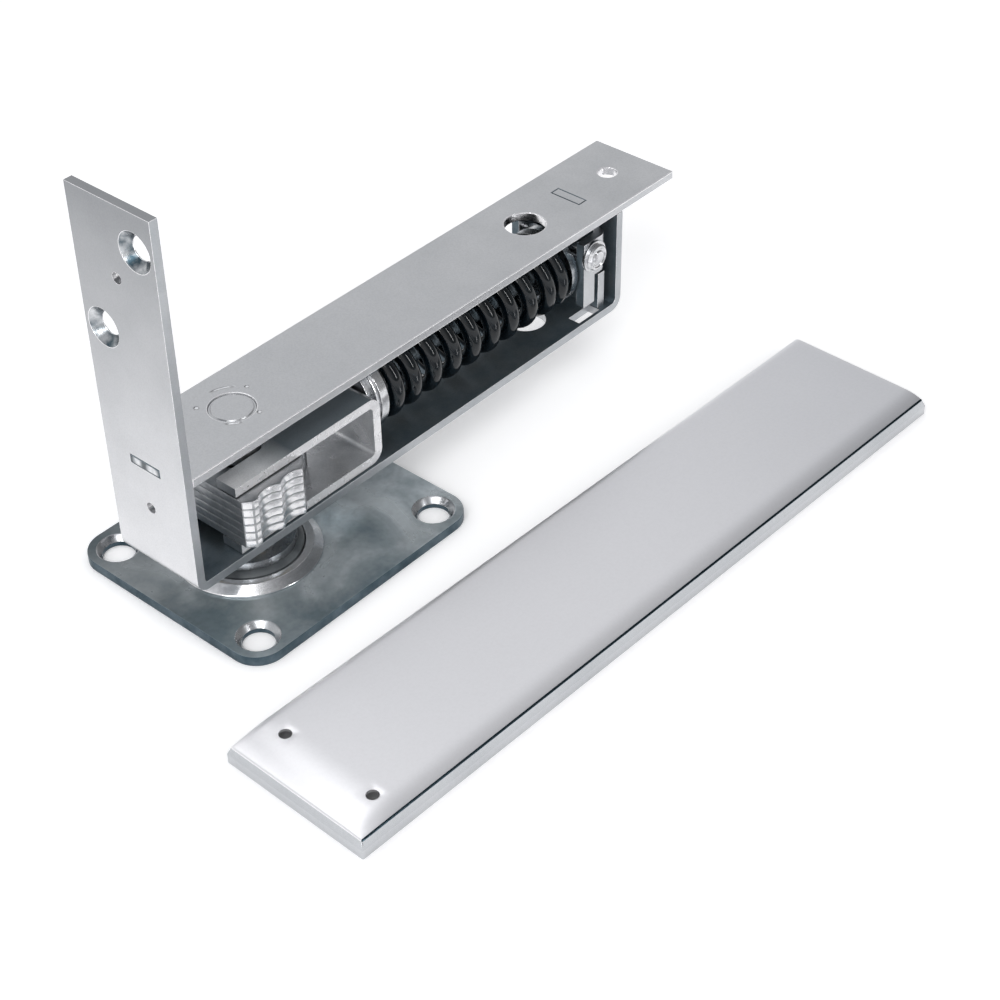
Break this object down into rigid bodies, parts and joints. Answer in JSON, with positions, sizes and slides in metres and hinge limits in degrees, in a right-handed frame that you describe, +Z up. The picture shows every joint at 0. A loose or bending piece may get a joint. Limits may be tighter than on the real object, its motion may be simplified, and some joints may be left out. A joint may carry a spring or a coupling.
{
  "type": "floor spring",
  "caption": "Sprung floor pivot for a swing door: floor plate with hub and cam, turning arm frame with jamb strap, yoke, roller and coil spring, and a loose cover.",
  "frame": {"origin": "on the pivot axis, at the underside of the floor plate", "axes": "+Z up along the pivot, +X along the arm with the door closed, away from the jamb strap, +Y towards the far side of the arm"},
  "size_m": [0.222, 0.1343, 0.1197],
  "materials": {
    "floor_zinc": "satin",
    "cup_chrome": "polished",
    "race_steel": "polished",
    "spindle_steel": "satin",
    "cam_steel": "satin",
    "frame_steel": "satin",
    "bush_brass": "satin",
    "yoke_steel": "satin",
    "seat_steel": "satin",
    "pin_steel": "polished",
    "roller_steel": "polished",
    "spring_black": "gloss",
    "cover_steel": "polished"
  },
  "bodies": {
    "base": {"floor_plate": "floor_zinc", "hub_cup": "cup_chrome", "thrust_balls": "race_steel", "spindle": "spindle_steel", "cam_plate_1": "cam_steel", "cam_plate_2": "cam_steel", "cam_plate_3": "cam_steel", "cam_plate_4": "cam_steel", "cam_plate_5": "cam_steel", "cam_plate_6": "cam_steel"},
    "race": {"upper_race": "race_steel"},
    "arm": {"frame_strap": "frame_steel", "top_plate": "frame_steel", "top_pivot": "pin_steel", "bottom_bush": "bush_brass", "end_bracket": "frame_steel", "far_seat": "seat_steel", "guide_rod": "pin_steel", "cross_pin": "pin_steel", "pin_washer": "pin_steel"},
    "coil": {"spring": "spring_black"},
    "slider": {"yoke": "yoke_steel", "near_seat": "seat_steel", "roller_pin": "pin_steel"},
    "wheel": {"roller": "roller_steel"},
    "cover": {"side_cover": "cover_steel"}
  },
  "joints": [
    {"name": "swing_left", "type": "hinge", "parent": "base", "child": "race", "pos_m": [0, 0, 0.014], "axis": [0, 0, 1], "range_deg": [0, 90], "stiffness_Nm_per_rad": 1.5},
    {"name": "swing_right", "type": "hinge", "parent": "race", "child": "arm", "pos_m": [0, 0, 0.014], "axis": [0, 0, 1], "range_deg": [-90, 0], "stiffness_Nm_per_rad": 1.5},
    {"name": "yoke_slide_left", "type": "slide", "parent": "arm", "child": "coil", "axis": [1, 0, 0], "range_m": [0, 0.01], "deforming": ["spring"]},
    {"name": "yoke_slide_right", "type": "slide", "parent": "coil", "child": "slider", "axis": [1, 0, 0], "range_m": [0, 0.01]},
    {"name": "roller_spin", "type": "hinge", "parent": "slider", "child": "wheel", "pos_m": [0.016, 0, 0.027], "axis": [0, 0, 1], "continuous": true},
    {"name": "cover_lift", "type": "slide", "parent": "base", "child": "cover", "axis": [0, 0, 1], "range_m": [0, 0.06]}
  ],
  "couplings": [
    {"joint": "yoke_slide_left", "follows": "swing_left", "m_per_rad": 0.006366},
    {"joint": "yoke_slide_right", "follows": "swing_right", "m_per_rad": -0.006366}
  ]
}
